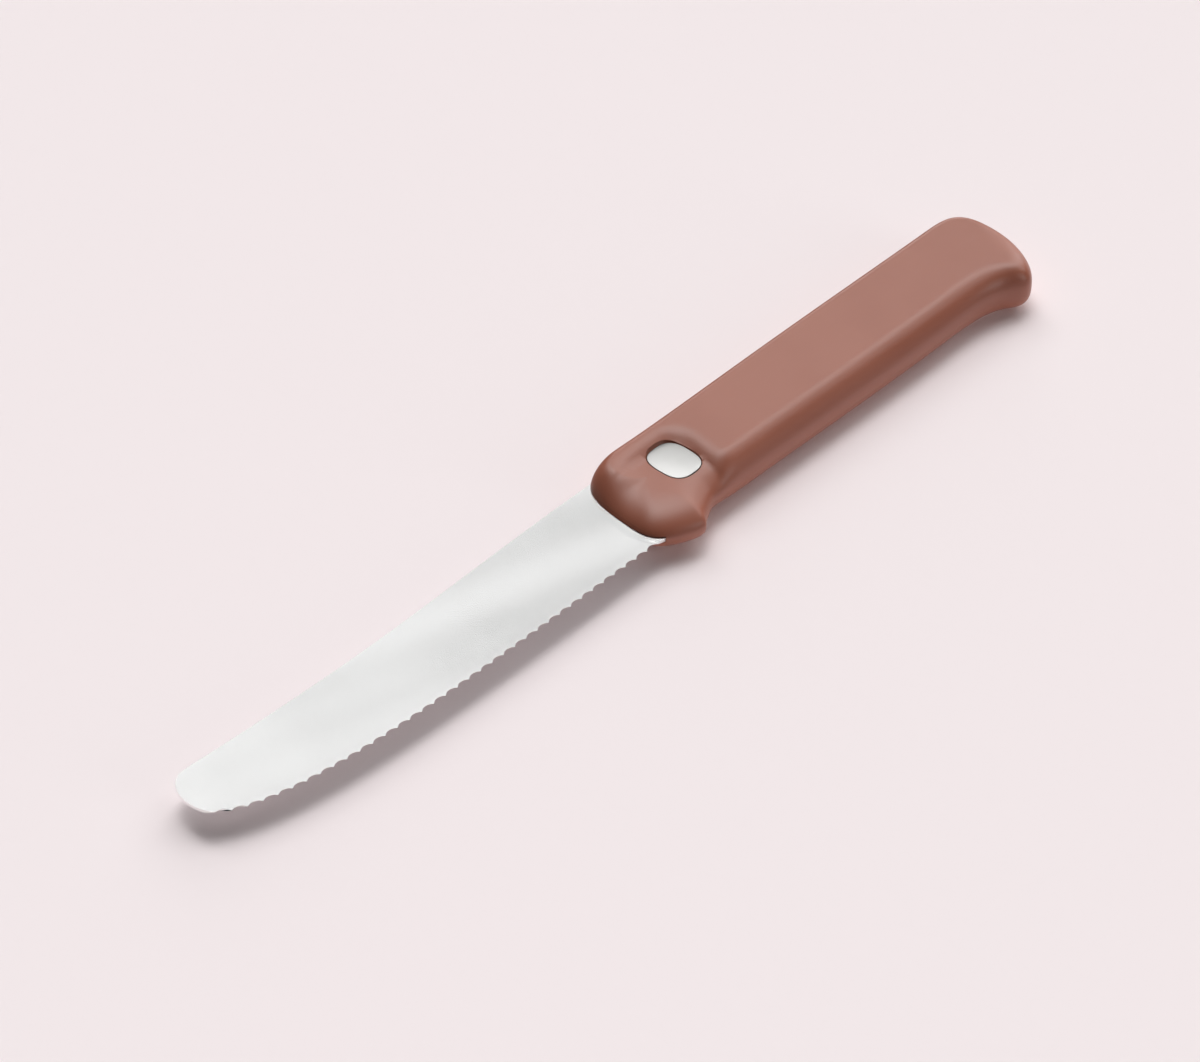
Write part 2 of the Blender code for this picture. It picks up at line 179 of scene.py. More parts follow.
# Satin steel with lines from the grinding belt, across the blade, and a long soft wave
# left by the belt, which runs slightly slanted to the blade
bladeFinish = {
    "colour": (0.86, 0.86, 0.855, 1),
    "roughness": 0.20,
    "waveLength": 0.0207,
    "waveSlant": 0.28,
    "waveStart": 0.0046,
    "waveHeight": 0.000054,
    "lineScale": 900,
    "lineStretch": (9, 0.35, 1),
    "lineHeight": 0.000004,
    "lineStrength": 0.5,
    "lineSwing": 0.04,  # how far the lines and the haze swing the roughness
    "hazeScale": 40,
    "hazeSwing": 0.03,
}


def satinSteel(name, finish):
    made = newMaterial(name)
    x, y = made.axes()[:2]
    turn = 2 * math.pi / finish["waveLength"] / math.hypot(1, finish["waveSlant"])
    across = y + x * finish["waveSlant"] - finish["waveStart"]
    wave = made.math("SINE", across * turn)
    lines = made.noise(finish["lineScale"], 3, 0.7, finish["lineStretch"])
    haze = made.noise(finish["hazeScale"], 2)
    waved = made.bump(wave, 1.0, finish["waveHeight"])
    hazy = finish["roughness"] + finish["hazeSwing"] * (haze - 0.5)
    return made.finish(
        Base_Color=finish["colour"],
        Metallic=1.0,
        Roughness=hazy + finish["lineSwing"] * (lines - 0.5),
        Normal=made.bump(lines, finish["lineStrength"], finish["lineHeight"], Normal=waved),
    )


bladeSteel = satinSteel("bladeSteel", bladeFinish)

# The badge is brushed finer and duller than the blade
badgeFinish = {
    "colour": (0.335, 0.332, 0.326, 1),
    "paler": (0.36, 0.357, 0.349, 1),
    "roughness": 0.45,
    "lineScale": 2400,
    "lineStretch": (6, 0.25, 1),
    "lineHeight": 0.000004,
    "lineStrength": 0.3,
    "lineSwing": 0.08,
    "hazeScale": 300,
}


def brushedSteel(name, finish):
    made = newMaterial(name)
    lines = made.noise(finish["lineScale"], 3, 0.7, finish["lineStretch"])
    haze = made.noise(finish["hazeScale"], 2)
    return made.finish(
        Base_Color=made.mix(haze, finish["colour"], finish["paler"]),
        Metallic=1.0,
        Roughness=finish["roughness"] + finish["lineSwing"] * (lines - 0.5),
        Normal=made.bump(lines, finish["lineStrength"], finish["lineHeight"]),
    )


badgeSteel = brushedSteel("badgeSteel", badgeFinish)

filmFinish = {
    "colour": (0.70, 0.68, 0.62, 1),
    "paler": (0.78, 0.76, 0.71, 1),
    "roughness": 0.6,
    "cloudScale": 900,
    "cloudHeight": 0.00005,
    "cloudStrength": 0.2,
    "cloudSwing": 0.2,
}


def film(name, finish):
    made = newMaterial(name)
    cloud = made.noise(finish["cloudScale"], 2)
    return made.finish(
        Base_Color=made.mix(cloud, finish["colour"], finish["paler"]),
        Roughness=finish["roughness"] + finish["cloudSwing"] * cloud,
        Normal=made.bump(cloud, finish["cloudStrength"], finish["cloudHeight"]),
    )


adhesiveFilm = film("adhesiveFilm", filmFinish)
print("materials made")

sharpFrom = 35  # degrees from which a corner is shaded sharp


def shadeSurface(data, sharp):
    data.shade_smooth()
    data.set_sharp_from_angle(angle=math.radians(sharp))


def newPiece(name, mesh, material, sharp=sharpFrom):
    data = bpy.data.meshes.new(name)
    bmesh.ops.translate(mesh, verts=mesh.verts[:], vec=drawnFrom)
    mesh.to_mesh(data)
    mesh.free()
    shadeSurface(data, sharp)
    data.materials.append(material)
    piece = bpy.data.objects.new(name, data)
    bpy.context.scene.collection.objects.link(piece)
    return piece


# Cuts one piece out of another and takes the cutter away
def cutOut(piece, cutter):
    cut = piece.modifiers.new("cut", "BOOLEAN")
    cut.operation = "DIFFERENCE"
    cut.solver = "EXACT"
    cut.object = cutter
    shaped = piece.evaluated_get(bpy.context.evaluated_depsgraph_get())
    data = bpy.data.meshes.new_from_object(shaped)
    piece.modifiers.remove(cut)
    old = piece.data
    piece.data = data
    data.name = piece.name
    bpy.data.meshes.remove(old)
    bpy.data.objects.remove(cutter)
    shadeSurface(data, sharpFrom)


# Rises softly from 0 at low to 1 at high
def step(value, low, high):
    u = min(max((value - low) / (high - low), 0), 1)
    return u * u * (3 - 2 * u)


handle = {
    "length": 0.11584,
    "spineLine": 0.0223,
    "gripHeight": 0.0216,
    "halfThickness": 0.0055,
    "frontCorner": 0.0029,
    "guardPlace": 0.0105,  # how far the finger guard and the neck are from the front
    "neckPlace": 0.0192,
    "guardDepth": 0.00388,
    "hookSetback": 0.0069,  # the hook's tip and its neck, from the pommel's end
    "hookNeckSetback": 0.0263,
    "hookDepth": 0.0034,
    "buttCorner": 0.0026,
    "buttCornerSetback": 0.0135,
    "outlineSamples": 6000,
    # how far the round edge reaches in: at the spine, the grip, the pommel and the front
    "spineRound": 0.0026,
    "gripRound": 0.0050,
    "pommelRound": 0.0033,
    "frontRound": 0.0096,
    "frontGuardRound": 0.0124,  # the front rolls off further towards the guard
    "frontTurnFrom": -0.5,  # over this range of inward.y
    "frontTurnTo": 0.6,
    "guardRound": 0.0102,  # and so does the side by the guard, up to guardRoundFull
    "guardRoundFull": 0.0120,
    "guardRoundEnd": 0.0270,
    "hookRound": 0.0068,  # and the hooked end, from hookStart on
    "hookStart": 0.0900,
    "hookFull": 0.1060,
    "hookTurnFrom": -0.7,  # over this range of inward.y
    "hookTurnTo": 0.5,
    "leastRound": 0.0006,
    "squareness": 2.2,  # 2 is a plain quarter round, more is squarer
    "hookSquareness": 2.8,
    "frontLift": 1.15,  # the front swells less steeply than the other sides
    "wall": 0.0024,
    "corePlace": 0.02675,  # the core starts here, and the skin is solid before it
}

# How finely the shell and the cavity are gridded: points round each end, points along
# each side, steps over the round edge and steps from there to the middle
shellGrid = {"caps": 70, "sides": 150, "rounds": 24, "flats": 6}
cavityGrid = {"caps": 24, "sides": 40, "rounds": 10, "flats": 2}

dish = {
    "depth": 0.0014,
    "backFoot": 0.0217,  # where the back wall starts to rise, and how wide it is
    "backWidth": 0.0048,
    "backPower": 2.3,  # the walls are steepest at their foot
    "backSlant": 0.13,
    "spineFoot": 0.0155,
    "spineWidth": 0.0036,
    "spinePower": 1.8,
    "bend": 0.0035,  # the walls meet in a round corner
    "endNear": 0.0150,  # the dish ends towards the front and the spine, not the guard
    "endFar": 0.0030,
    "endLow": 0.0080,
    "endHigh": 0.0190,
}

badge = {
    "place": 0.0173,
    "middle": 0.0112,
    "length": 0.0085,
    "height": 0.0103,
    "thickness": 0.0005,
    "squareness": 2.85,
    "points": 144,
    "bevel": 0.00014,
    "gap": 0.00010,
    "lipHeight": 0.00012,  # the recess opens by lipWidth over this height
    "lipWidth": 0.000099,
    "cutterHeight": 0.0020,  # the cutter goes on above the lip, and flares
    "cutterFlare": 0.0004,
    "recessFloor": 0.0028,
}
badge["top"] = handle["halfThickness"] - dish["depth"]


# A smooth closed curve through a few points, finely sampled
def closedCurve(points, count):
    points = np.array(points)
    steps = np.roll(points, -1, axis=0) - points
    spans = np.sqrt(np.linalg.norm(steps, axis=1))
    size = len(points)
    matrix = np.zeros((size, size))
    right = np.zeros((size, 2))
    for i in range(size):
        before, after = spans[i - 1], spans[i]
        matrix[i, i - 1] = 1 / before
        matrix[i, i] = 2 / before + 2 / after
        matrix[i, (i + 1) % size] = 1 / after
        right[i] = 3 * (steps[i - 1] / before**2 + steps[i] / after**2)
    slopes = np.linalg.solve(matrix, right)
    starts = np.concatenate([[0], np.cumsum(spans)])
    place = np.linspace(0, starts[-1], count, endpoint=False)
    i = np.searchsorted(starts, place, side="right") - 1
    u = ((place - starts[i]) / spans[i])[:, None]
    after = (i + 1) % size
    span = spans[i][:, None]
    return (
        (2 * u**3 - 3 * u**2 + 1) * points[i]
        + (3 * u**2 - 2 * u**3) * points[after]
        + span * (u**3 - 2 * u**2 + u) * slopes[i]
        + span * (u**3 - u**2) * slopes[after]
    )


# The handle's widest outline, from the front round by the spine, the pommel and the grip
def handleOutline(count):
    h = handle
    end, spine, tall = h["length"], h["spineLine"], h["gripHeight"]
    corner, guard, deep = h["frontCorner"], h["guardPlace"], h["guardDepth"]
    grip = spine - tall
    hook, neck, butt = h["hookSetback"], h["neckPlace"], h["buttCorner"]
    return closedCurve([
        (0, spine - 0.70 * tall),  # the front
        (corner, spine - 0.85 * corner),
        (corner * 5, spine - 0.08 * corner),
        (end * 0.47, spine),  # along the spine
        (end - h["buttCornerSetback"], spine),
        (end - butt, spine - 0.8 * butt),
        (end - 0.06 * butt, spine - 0.65 * tall),  # the pommel's end
        (end - hook, grip - h["hookDepth"]),  # the hook's tip
        (end - hook * 1.8, grip - 0.38 * h["hookDepth"]),
        (end - h["hookNeckSetback"], grip),
        (end * 0.53, grip - 0.02 * h["hookDepth"]),  # along the grip
        (neck, grip + 0.05 * deep),
        (neck * 0.84, grip - 0.12 * deep),
        (guard * 1.1, grip - 0.82 * deep),
        (guard, grip - deep),  # the guard's tip
        (guard * 0.2, grip - 0.08 * deep),
    ], count)


# The same outline with points that face each other across the handle
def pairedOutline(caps, sides):
    fine = handleOutline(handle["outlineSamples"])
    reach = handle["gripHeight"] / 2
    left, right = reach, handle["length"] - reach
    xs = np.linspace(left, right, sides)
    top = int(np.argmax(fine[:, 0]))
    spineSide, gripSide = fine[:top], fine[top:]
    front = np.vstack([gripSide[gripSide[:, 0] < left], spineSide[spineSide[:, 0] < left]])
    far = fine[fine[:, 0] > right]

    def along(points, count):  # evenly spaced points, without the two ends
        steps = np.linalg.norm(np.diff(points, axis=0), axis=1)
        run = np.concatenate([[0], np.cumsum(steps)])
        places = np.linspace(0, run[-1], count + 2)[1:-1]
        return np.column_stack([np.interp(places, run, points[:, i]) for i in (0, 1)])

    spine = np.column_stack([xs, np.interp(xs, spineSide[:, 0], spineSide[:, 1])])
    back = gripSide[::-1]
    grip = np.column_stack([xs, np.interp(xs, back[:, 0], back[:, 1])])[::-1]
    order = np.arctan2(front[:, 1] - handle["spineLine"] + reach, left - front[:, 0])
    front = front[np.argsort(order)]
    return np.vstack([along(front, caps), spine, along(far, caps), grip])


# How far the dish round the badge lies below the handle's top
def dishAt(x, y):
    d = dish
    slanted = x - d["backSlant"] * (y - badge["middle"])
    back = max(slanted - d["backFoot"] + d["bend"], 0)
    side = max(y - d["spineFoot"] + d["bend"], 0)
    turned = side**2 / max(back**2 + side**2, 1e-12)  # 0 at the back wall, 1 at the spine's
    width = d["backWidth"] + (d["spineWidth"] - d["backWidth"]) * turned
    power = d["backPower"] + (d["spinePower"] - d["backPower"]) * turned
    climbed = min(max((math.hypot(back, side) - d["bend"]) / width, 0), 1)
    end = (1 - step(x, d["endFar"], d["endNear"])) * step(y, d["endLow"], d["endHigh"])
    return d["depth"] * (1 - climbed) ** power * (1 - end)


# A shell of the handle, drawn in by a wall's thickness: a grid wrapped round the outline,
# whose rows run from the middle of one side over the edge to the middle of the other
def handleShell(wall, grid, dished):
    h = handle
    outline = pairedOutline(grid["caps"], grid["sides"])
    rounds, flats = grid["rounds"], grid["flats"]
    around, rows = len(outline), 2 * (rounds + flats)
    reach = h["gripHeight"] / 2
    middle = h["spineLine"] - reach
    mesh = bmesh.new()
    bmesh.ops.create_grid(mesh, x_segments=around, y_segments=rows, size=0.5)
    for vert in mesh.verts:
        i = round((vert.co.x + 0.5) * around) % around
        j = round((vert.co.y + 0.5) * rows) - rows // 2
        edge = Vector((*outline[i], 0))
        inner = Vector((min(max(edge.x, reach), h["length"] - reach), middle, 0))
        whole = (inner - edge).length
        inward = (inner - edge) / whole
        # How far in the round edge reaches here
        toGuard = step(inward.y, h["frontTurnFrom"], h["frontTurnTo"])
        front = h["frontRound"] + (h["frontGuardRound"] - h["frontRound"]) * toGuard
        width = (front if inward.x > 0 else h["pommelRound"]) * inward.x**2
        guarded = 1 - step(edge.x, h["guardRoundFull"], h["guardRoundEnd"])
        low = h["gripRound"] + (h["guardRound"] - h["gripRound"]) * guarded
        width += (low if inward.y > 0 else h["spineRound"]) * inward.y**2
        hooked = step(edge.x, h["hookStart"], h["hookFull"])
        hooked *= step(inward.y, h["hookTurnFrom"], h["hookTurnTo"])
        width += (h["hookRound"] - width) * hooked
        width = max(width - wall, h["leastRound"])
        # How far in and how high this row lies on it
        angle = min(abs(j) / rounds, 1) * math.pi / 2
        power = 2 / (h["squareness"] + (h["hookSquareness"] - h["squareness"]) * hooked)
        lift = power + (h["frontLift"] - power) * max(inward.x, 0) ** 2
        draw = wall + width * (1 - math.cos(angle) ** power)
        if abs(j) >= rounds:
            draw += (whole - draw) * (abs(j) - rounds) / flats
        level = (h["halfThickness"] - wall) * math.sin(angle) ** lift
        point = edge.lerp(inner, draw / whole)
        if dished and j > 0:
            level *= 1 - dishAt(point.x, point.y) / h["halfThickness"]
        vert.co = (point.x, point.y, math.copysign(level, j))
    bmesh.ops.remove_doubles(mesh, verts=mesh.verts[:], dist=1e-6)
    bmesh.ops.dissolve_degenerate(mesh, edges=mesh.edges[:], dist=1e-7)
    bmesh.ops.recalc_face_normals(mesh, faces=mesh.faces[:])
    return mesh


# A circle pressed to the badge's rounded square
def badgeDisc(mesh, grow, z):
    b = badge
    made = bmesh.ops.create_circle(mesh, cap_ends=True, segments=b["points"], radius=1)
    power = 2 / b["squareness"]
    for vert in made["verts"]:
        along = math.copysign(abs(vert.co.x) ** power, vert.co.x)
        across = math.copysign(abs(vert.co.y) ** power, vert.co.y)
        vert.co.x = b["place"] + (b["length"] / 2 + grow) * along
        vert.co.y = b["middle"] + (b["height"] / 2 + grow) * across
        vert.co.z = z


def raiseFace(mesh, height):
    top = bmesh.ops.extrude_face_region(mesh, geom=mesh.faces[:])
    verts = [g for g in top["geom"] if isinstance(g, bmesh.types.BMVert)]
    bmesh.ops.translate(mesh, verts=verts, vec=(0, 0, height))
    return verts


def badgePlate():
    mesh = bmesh.new()
    badgeDisc(mesh, 0, badge["top"] - badge["thickness"])
    raised = set(raiseFace(mesh, badge["thickness"]))
    bmesh.ops.recalc_face_normals(mesh, faces=mesh.faces[:])
    rim = [e for e in mesh.edges if e.verts[0] in raised and e.verts[1] in raised]
    bmesh.ops.bevel(
        mesh, geom=rim, offset=badge["bevel"], segments=3, profile=0.5, affect="EDGES",
        material=-1,
    )
    return mesh


# The hole for the badge, which opens into a small rounded lip
def badgeHole():
    b = badge
    mesh = bmesh.new()
    badgeDisc(mesh, b["gap"], b["recessFloor"])
    raiseFace(mesh, b["top"] - b["lipHeight"] - b["recessFloor"])
    lid = max(mesh.faces, key=lambda f: (len(f.verts) > 4, f.calc_center_median().z))
    steps = ((b["lipHeight"], b["lipWidth"]), (b["cutterHeight"], b["cutterFlare"]))
    for rise, grow in steps:
        grown = bmesh.ops.extrude_discrete_faces(mesh, faces=[lid])
        lid = grown["faces"][0]
        for vert in lid.verts:
            out = Vector((vert.co.x - b["place"], vert.co.y - b["middle"], 0))
            vert.co += out.normalized() * grow + Vector((0, 0, rise))
    bmesh.ops.recalc_face_normals(mesh, faces=mesh.faces[:])
    return mesh


blade = {
    "reach": 0.10758,
    "heelHeight": 0.0209,
    "stock": 0.0012,
    "tipThickness": 0.0008,  # the blade thins to its tip and to its edge
    "edgeSideThickness": 0.0008,
    "spineHollow": 0.0012,
    "hollowPlace": 0.0606,  # the spine is lowest here, and rises again towards the tip
    "spineFlare": 0.0015,
    "flarePower": 1.7,
    "bellyRun": 0.1155,  # the edge's curve up to the tip
    "bellyRise": 0.0108,
    "bellyPower": 5.3,
    "bellyFullness": 1.7,
    "tipLower": 0.0010,  # the round tip's two ends, and how far it swells between them
    "tipUpper": 0.0055,
    "tipSwell": 0.0015,
    "tipLowerPull": 0.0024,
    "tipUpperPull": 0.00045,
    "tipCrown": 0.0003,
    "pitch": 0.0030,
    "toothDepth": 0.0007,
    "firstTooth": 0.0005,  # the edge is straight inside the handle's slot
    "straightSteps": 3,
    "toothSteps": 12,
    "fluteAngle": 15,
    "edge": 0.00012,
    "shoulder": 0.0042,  # the body ends here, and the tang starts just behind it
    "tangGap": 0.0001,
    "plungeAhead": 0.0018,  # from here on the grind fades out towards the handle
    "plungeWidth": 0.0016,
    "plungeShare": 0.3,
    "spineBevel": 0.00003,
    "bevelAngle": 1.0,  # radians from which an edge of the mesh is bevelled
    "bevelAbove": 0.0011,  # not along the teeth, which reach this far up
    "bevelTip": 0.0004,
    "sharp": 20,
    "rows": 28,
    "rowSpread": 1.35,
    "edgeSamples": 3000,
    "frontSamples": 3000,
    "frontHeights": 200,
}


# The height of the spine at each place along the blade
def spineAt(x):
    b = blade
    waist, low = -b["hollowPlace"], b["heelHeight"] - b["spineHollow"]
    if x > waist:
        u = min((x - waist) / -waist, 1)
        return low + b["spineHollow"] * (1 - math.cos(math.pi * u)) / 2
    u = (waist - x) / (waist + b["reach"] - b["tipUpper"])
    return low + b["spineFlare"] * u ** b["flarePower"]


# The height of the line through the teeth's tips
def toothLineAt(x):
    b = blade
    end = b["tipLower"] - b["reach"]
    u = min(max((end + b["bellyRun"] - x) / b["bellyRun"], 0), 1)
    return b["bellyRise"] * (1 - (1 - u ** b["bellyPower"]) ** (1 / b["bellyFullness"]))


# Half the blade's thickness, before the flutes
def halfBlade(x, y):
    b = blade
    toEdge = (b["stock"] - b["edgeSideThickness"]) / 2 / b["heelHeight"]
    toTip = (b["stock"] - b["tipThickness"]) / 2 / b["reach"]
    return b["stock"] / 2 - toEdge * (b["heelHeight"] - y) + toTip * min(x, 0)


# The scalloped edge from the handle to the tip: evenly spaced teeth along the belly
def toothedEdge():
    b = blade
    end = b["tipLower"] - b["reach"]
    # The samples crowd together towards the tip, where the line curves most
    crowd = 1 - np.linspace(1, 0, b["edgeSamples"]) ** 2
    xs = b["firstTooth"] + (end - b["firstTooth"]) * crowd
    ys = np.array([toothLineAt(x) for x in xs])
    run = np.concatenate([[0], np.cumsum(np.hypot(np.diff(xs), np.diff(ys)))])
    teeth = int(run[-1] / b["pitch"])
    places = np.arange(teeth * b["toothSteps"] + 1) * b["pitch"] / b["toothSteps"]
    line = np.column_stack([np.interp(places, run, xs), np.interp(places, run, ys)])
    along = np.gradient(line, axis=0)
    along /= np.linalg.norm(along, axis=1)[:, None]
    inward = np.column_stack([along[:, 1], -along[:, 0]])
    # Each hollow between two tips is an arc of a circle
    half = b["pitch"] / 2
    radius = (half**2 + b["toothDepth"] ** 2) / (2 * b["toothDepth"])
    across = (2 * (np.arange(len(line)) % b["toothSteps"]) / b["toothSteps"] - 1) * half
    inset = np.sqrt(radius**2 - across**2) - (radius - b["toothDepth"])
    return line + inward * inset[:, None]


def bezier(points, count):
    u = np.linspace(0, 1, count)[:, None]
    a, b, c, d = (np.array(p) for p in points)
    return (1 - u) ** 3 * a + 3 * u * (1 - u) ** 2 * b + 3 * u**2 * (1 - u) * c + u**3 * d


# Where the front of the handle lies at each height across the blade
def handleFront(heights):
    outline = handleOutline(blade["frontSamples"])
    front = outline[outline[:, 0] < handle["guardPlace"]]
    front = front[np.argsort(front[:, 1])]
    return np.interp(heights, front[:, 1], front[:, 0])


# A grid pulled onto the blade's four sides: edge, spine, tip and the line in the handle
def bladeBody():
    b = blade
    cut = toothedEdge()
    straight = np.linspace(b["shoulder"], b["firstTooth"], b["straightSteps"] + 1)[:-1]
    low = np.vstack([np.column_stack([straight, np.zeros(len(straight))]), cut])
    columns, rows = len(low) - 1, b["rows"]
    # The spine takes as many places as the edge, spaced like it
    tipX = -b["reach"]
    high = (tipX + b["tipUpper"], spineAt(tipX + b["tipUpper"]))
    share = (b["shoulder"] - low[:, 0]) / (b["shoulder"] - low[-1, 0])
    topX = b["shoulder"] + (high[0] - b["shoulder"]) * share
    top = np.array([(x, spineAt(x)) for x in topX])
    tip = bezier([
        low[-1],
        (tipX - b["tipSwell"], b["bellyRise"] + b["tipLowerPull"]),
        (tipX - b["tipUpperPull"], high[1] + b["tipCrown"]),
        high,
    ], rows + 1)
    # Rows lie closer together near the edge, for the flutes
    spread = np.linspace(0, 1, rows + 1) ** b["rowSpread"]
    tipRun = np.linspace(0, 1, rows + 1)
    tip = np.column_stack([np.interp(spread, tipRun, tip[:, i]) for i in (0, 1)])
    heights = np.linspace(0, b["heelHeight"], b["frontHeights"])
    fronts = handleFront(heights)

    mesh = bmesh.new()
    bmesh.ops.create_grid(mesh, x_segments=columns, y_segments=rows, size=0.5)
    taper = {}
    for vert in mesh.verts:
        i = round((vert.co.x + 0.5) * columns)
        j = round((vert.co.y + 0.5) * rows)
        u, v = share[i], spread[j]
        heel = np.array((b["shoulder"], b["heelHeight"] * v))
        across = low[i] * (1 - v) + top[i] * v
        along = heel * (1 - u) + tip[j] * u
        ends = (
            low[0] * (1 - u) * (1 - v) + low[-1] * u * (1 - v)
            + top[0] * (1 - u) * v + top[-1] * u * v
        )
        x, y = across + along - ends
        half = halfBlade(x, y)
        ahead = np.interp(y, heights, fronts) - x
        ground = step(ahead, b["plungeAhead"] - b["plungeWidth"], b["plungeAhead"])
        half += (b["stock"] / 2 - half) * (1 - ground) * b["plungeShare"]
        vert.co = (x, y, half)
        away = float(np.hypot(*(np.array((x, y)) - low[i])))
        deep = 2 * half - b["edge"]
        flute = max(deep - away * math.tan(math.radians(b["fluteAngle"])), 0)
        taper[vert] = -half + flute * ground
    # The other side: the grid is extruded down and each point takes its own depth
    sides = bmesh.ops.extrude_face_region(mesh, geom=mesh.faces[:])
    below = [g for g in sides["geom"] if isinstance(g, bmesh.types.BMVert)]
    near = {(round(v.co.x, 8), round(v.co.y, 8)): z for v, z in taper.items()}
    for vert in below:
        vert.co.z = near[(round(vert.co.x, 8), round(vert.co.y, 8))]
    bmesh.ops.recalc_face_normals(mesh, faces=mesh.faces[:])
    # The spine and the tip have their corners broken
    rim = []
    for edge in mesh.edges:
        one, other = edge.verts
        middle = (one.co + other.co) / 2
        atSpine = middle.y > toothLineAt(middle.x) + b["bevelAbove"]
        atTip = middle.x < low[-1, 0] - b["bevelTip"]
        free = middle.x < b["shoulder"] - 1e-5
        if free and (atSpine or atTip) and edge.calc_face_angle(0) > b["bevelAngle"]:
            rim.append(edge)
    bmesh.ops.bevel(
        mesh, geom=rim, offset=b["spineBevel"], segments=2, profile=0.5, affect="EDGES",
        material=-1, clamp_overlap=True,
    )
    return mesh


# Takes away all that lies before x, and closes the mesh there
def cutBefore(mesh, x):
    everything = mesh.verts[:] + mesh.edges[:] + mesh.faces[:]
    bmesh.ops.bisect_plane(
        mesh, geom=everything, plane_co=(x, 0, 0), plane_no=(-1, 0, 0), clear_outer=True
    )
    bmesh.ops.holes_fill(mesh, edges=[e for e in mesh.edges if e.is_boundary], sides=0)


# The tang, hidden in the handle: the part of the frame's own blade behind the shoulder
def tangBody():
    mesh = bmesh.new()
    mesh.from_mesh(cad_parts["blade"].data)
    bmesh.ops.remove_doubles(mesh, verts=mesh.verts[:], dist=1e-6)
    bmesh.ops.translate(mesh, verts=mesh.verts[:], vec=-drawnFrom)
    cutBefore(mesh, blade["shoulder"] + blade["tangGap"])
    return mesh


def join(mesh, other):
    data = bpy.data.meshes.new("joined")
    other.to_mesh(data)
    other.free()
    mesh.from_mesh(data)
    bpy.data.meshes.remove(data)
    return mesh


bladeMesh = join(bladeBody(), tangBody())
bladePiece = newPiece("bladeBody", bladeMesh, bladeSteel, blade["sharp"])
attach(bladePiece, "root")
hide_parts("blade")
print("blade made", len(bladePiece.data.polygons))

slot = {
    "gap": 0.00004,
    "ahead": 0.004,
    "deep": 0.0072,
    "tangStart": 0.005,
    "tangEnd": 0.027,
    "tangLow": 0.0061,
    "tangHigh": 0.0169,
}


# A flat prism into the front of the handle, for the blade or for the tang behind it
def slotCutter(start, end, low, high):
    mesh = bmesh.new()
    bmesh.ops.create_cube(mesh, size=1)
    gap = slot["gap"]
    size = (end - start, high - low + 2 * gap, blade["stock"] + 2 * gap)
    bmesh.ops.scale(mesh, verts=mesh.verts[:], vec=size)
    middle = ((start + end) / 2, (low + high) / 2, 0)
    bmesh.ops.translate(mesh, verts=mesh.verts[:], vec=middle)
    return newPiece("slotCutter", mesh, handlePlastic)


# The hollow in the skin that holds the core
def cavity():
    mesh = handleShell(handle["wall"], cavityGrid, False)
    cutBefore(mesh, handle["corePlace"])
    bmesh.ops.recalc_face_normals(mesh, faces=mesh.faces[:])
    return mesh


bladeSlot = (-slot["ahead"], slot["deep"], 0, blade["heelHeight"])
tangSlot = (slot["tangStart"], slot["tangEnd"], slot["tangLow"], slot["tangHigh"])
handlePiece = newPiece("handleSkin", handleShell(0, shellGrid, True), handlePlastic)
cutOut(handlePiece, slotCutter(*bladeSlot))
cutOut(handlePiece, slotCutter(*tangSlot))
cutOut(handlePiece, newPiece("badgeHole", badgeHole(), handlePlastic))
cutOut(handlePiece, newPiece("cavity", cavity(), handlePlastic))
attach(handlePiece, "root")
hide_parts("handle_skin")
print("handle made", len(handlePiece.data.polygons))

badgePiece = newPiece("badgePlate", badgePlate(), badgeSteel)
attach(badgePiece, "root")
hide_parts("badge")
print("badge made")


# The two hidden pieces keep the frame's own shape and get a material
def dress(node, material):
    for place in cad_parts[node].material_slots:
        place.material = material


dress("handle_core", corePlastic)
dress("badge_adhesive", adhesiveFilm)

stage = {
    "floorColour": (0.888, 0.807, 0.815, 1),
    "floorSize": 6.0,
    # how much the floor glows: for the camera, in shiny surfaces, and on dull ones
    "seenGlow": 0.048,
    "mirroredGlow": 0.155,
    "bounceGlow": 0.305,
    # painted dark reflection: the colour the knife's shine shows for the floor, dark from
    # darkFrom to darkFull out to either side
    "paintedDarkReflection": (0.08, 0.075, 0.075, 1),
    "darkFrom": 0.014,
    "darkFull": 0.040,
    # each softbox: compass direction, height and width in degrees, and share of the light
    "lamps": {
        "topSoftbox": (36, 74, 24, 0.1482),
        "topLeftSoftbox": (108, 74, 24, 0.0610),
        "upperBackSoftbox": (60, 64, 24, 0.1755),
        "backSoftbox": (75, 44, 24, 0.1155),
        "upperRightSoftbox": (20, 54, 24, 0.1395),
        "upperBackStrip": (60, 54, 24, 0.0142),
        "upperFrontSoftbox": (340, 54, 24, 0.0371),
        "rightSoftbox": (15, 34, 24, 0.0665),
        "backStrip": (48, 32, 24, 0.0228),
        "frontSoftbox": (345, 34, 24, 0.0578),
        "lowRightStrip": (15, 14, 24, 0.0273),
        "lowBackStrip": (45, 14, 24, 0.0316),
        "lowFrontStrip": (285, 14, 24, 0.0251),
        "nearSoftbox": (285, 34, 24, 0.0300),
    },
}


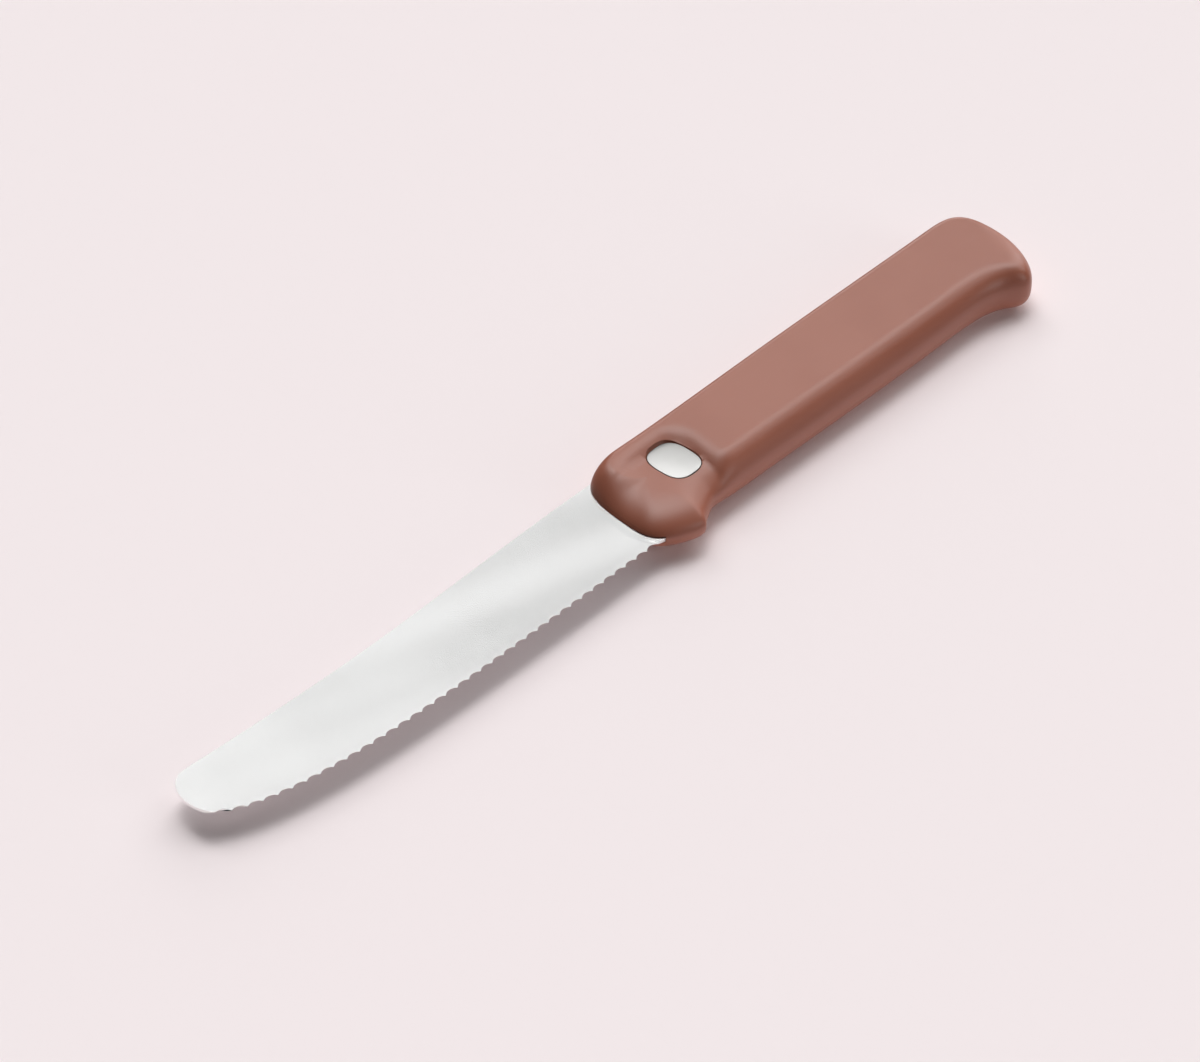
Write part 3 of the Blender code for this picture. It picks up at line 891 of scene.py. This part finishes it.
def makeFloor():
    mesh = bmesh.new()
    bmesh.ops.create_grid(mesh, x_segments=1, y_segments=1, size=stage["floorSize"] / 2)
    data = bpy.data.meshes.new("floor")
    mesh.to_mesh(data)
    mesh.free()
    floor = bpy.data.objects.new("floor", data)
    bpy.context.scene.collection.objects.link(floor)
    made = newMaterial("floorPaint")
    paint = made.node("ShaderNodeBsdfDiffuse", {}, {"Color": stage["floorColour"]})
    seen, mirrored, dull = (made.path(f"Is {ray} Ray") for ray in ("Camera", "Glossy", "Diffuse"))
    strength = (
        seen * stage["seenGlow"] + mirrored * stage["mirroredGlow"] + dull * stage["bounceGlow"]
    )
    glow = made.node(
        "ShaderNodeEmission", {}, {"Color": stage["floorColour"], "Strength": strength}
    )
    lit = made.node("ShaderNodeAddShader", {}, [paint, glow])
    # Seen in the knife's shine, the floor further out beside it is swapped for a dark colour: a
    # painted dark reflection
    beside = made.math("ABSOLUTE", made.axes()[1])
    away = made.smooth(beside, stage["darkFrom"], stage["darkFull"])
    dark = made.node("ShaderNodeBsdfDiffuse", {}, {"Color": stage["paintedDarkReflection"]})
    surface = made.node("ShaderNodeMixShader", {}, [away * mirrored, lit, dark])
    made.node("ShaderNodeOutputMaterial", {}, {"Surface": surface})
    data.materials.append(made.owner)


# A far soft lamp, whose energy gives its share of the light on the floor
def softbox(name, compass, height, width, share):
    lamp = bpy.data.lights.new(name, "SUN")
    lamp.angle = math.radians(width)
    lamp.energy = share * math.pi / math.sin(math.radians(height))
    lampObject = bpy.data.objects.new(name, lamp)
    a, e = math.radians(compass), math.radians(height)
    toLamp = Vector((math.cos(a) * math.cos(e), math.sin(a) * math.cos(e), math.sin(e)))
    lampObject.rotation_euler = toLamp.to_track_quat("Z", "Y").to_euler()
    bpy.context.scene.collection.objects.link(lampObject)


# The world is pale for the camera alone, and lights nothing
def makeWorld():
    world = bpy.data.worlds.new("studio")
    bpy.context.scene.world = world
    made = Shader(world)
    seen = made.path("Is Camera Ray")
    pale = made.node(
        "ShaderNodeBackground", {}, {"Color": stage["floorColour"], "Strength": seen}
    )
    made.node("ShaderNodeOutputWorld", {}, {"Surface": pale})


makeFloor()
for lampName, lampPlace in stage["lamps"].items():
    softbox(lampName, *lampPlace)
makeWorld()

view = {
    "target": (-0.00265608, 0.00638533, -0.001274),
    "compass": -46.971,
    "height": 41.764,
    "distance": 0.89212,
    "lens": 139.095,  # millimetres, on a sensor 36 mm wide
    "sensor": 36,
    "clipStart": 0.05,
}


def makeCamera():
    lens = bpy.data.cameras.new("camera")
    lens.lens = view["lens"]
    lens.sensor_width = view["sensor"]
    lens.clip_start = view["clipStart"]
    camera = bpy.data.objects.new("camera", lens)
    a, e = math.radians(view["compass"]), math.radians(view["height"])
    back = Vector((math.sin(a) * math.cos(e), -math.cos(a) * math.cos(e), math.sin(e)))
    right = Vector((math.cos(a), math.sin(a), 0))
    up = back.cross(right)
    turned = Matrix((right, up, back)).transposed().to_4x4()
    stand = Vector(view["target"]) + back * view["distance"]
    camera.matrix_world = Matrix.Translation(stand) @ turned
    bpy.context.scene.collection.objects.link(camera)
    bpy.context.scene.camera = camera


makeCamera()
bpy.context.scene.view_settings.view_transform = "Standard"
print("stage and camera made")
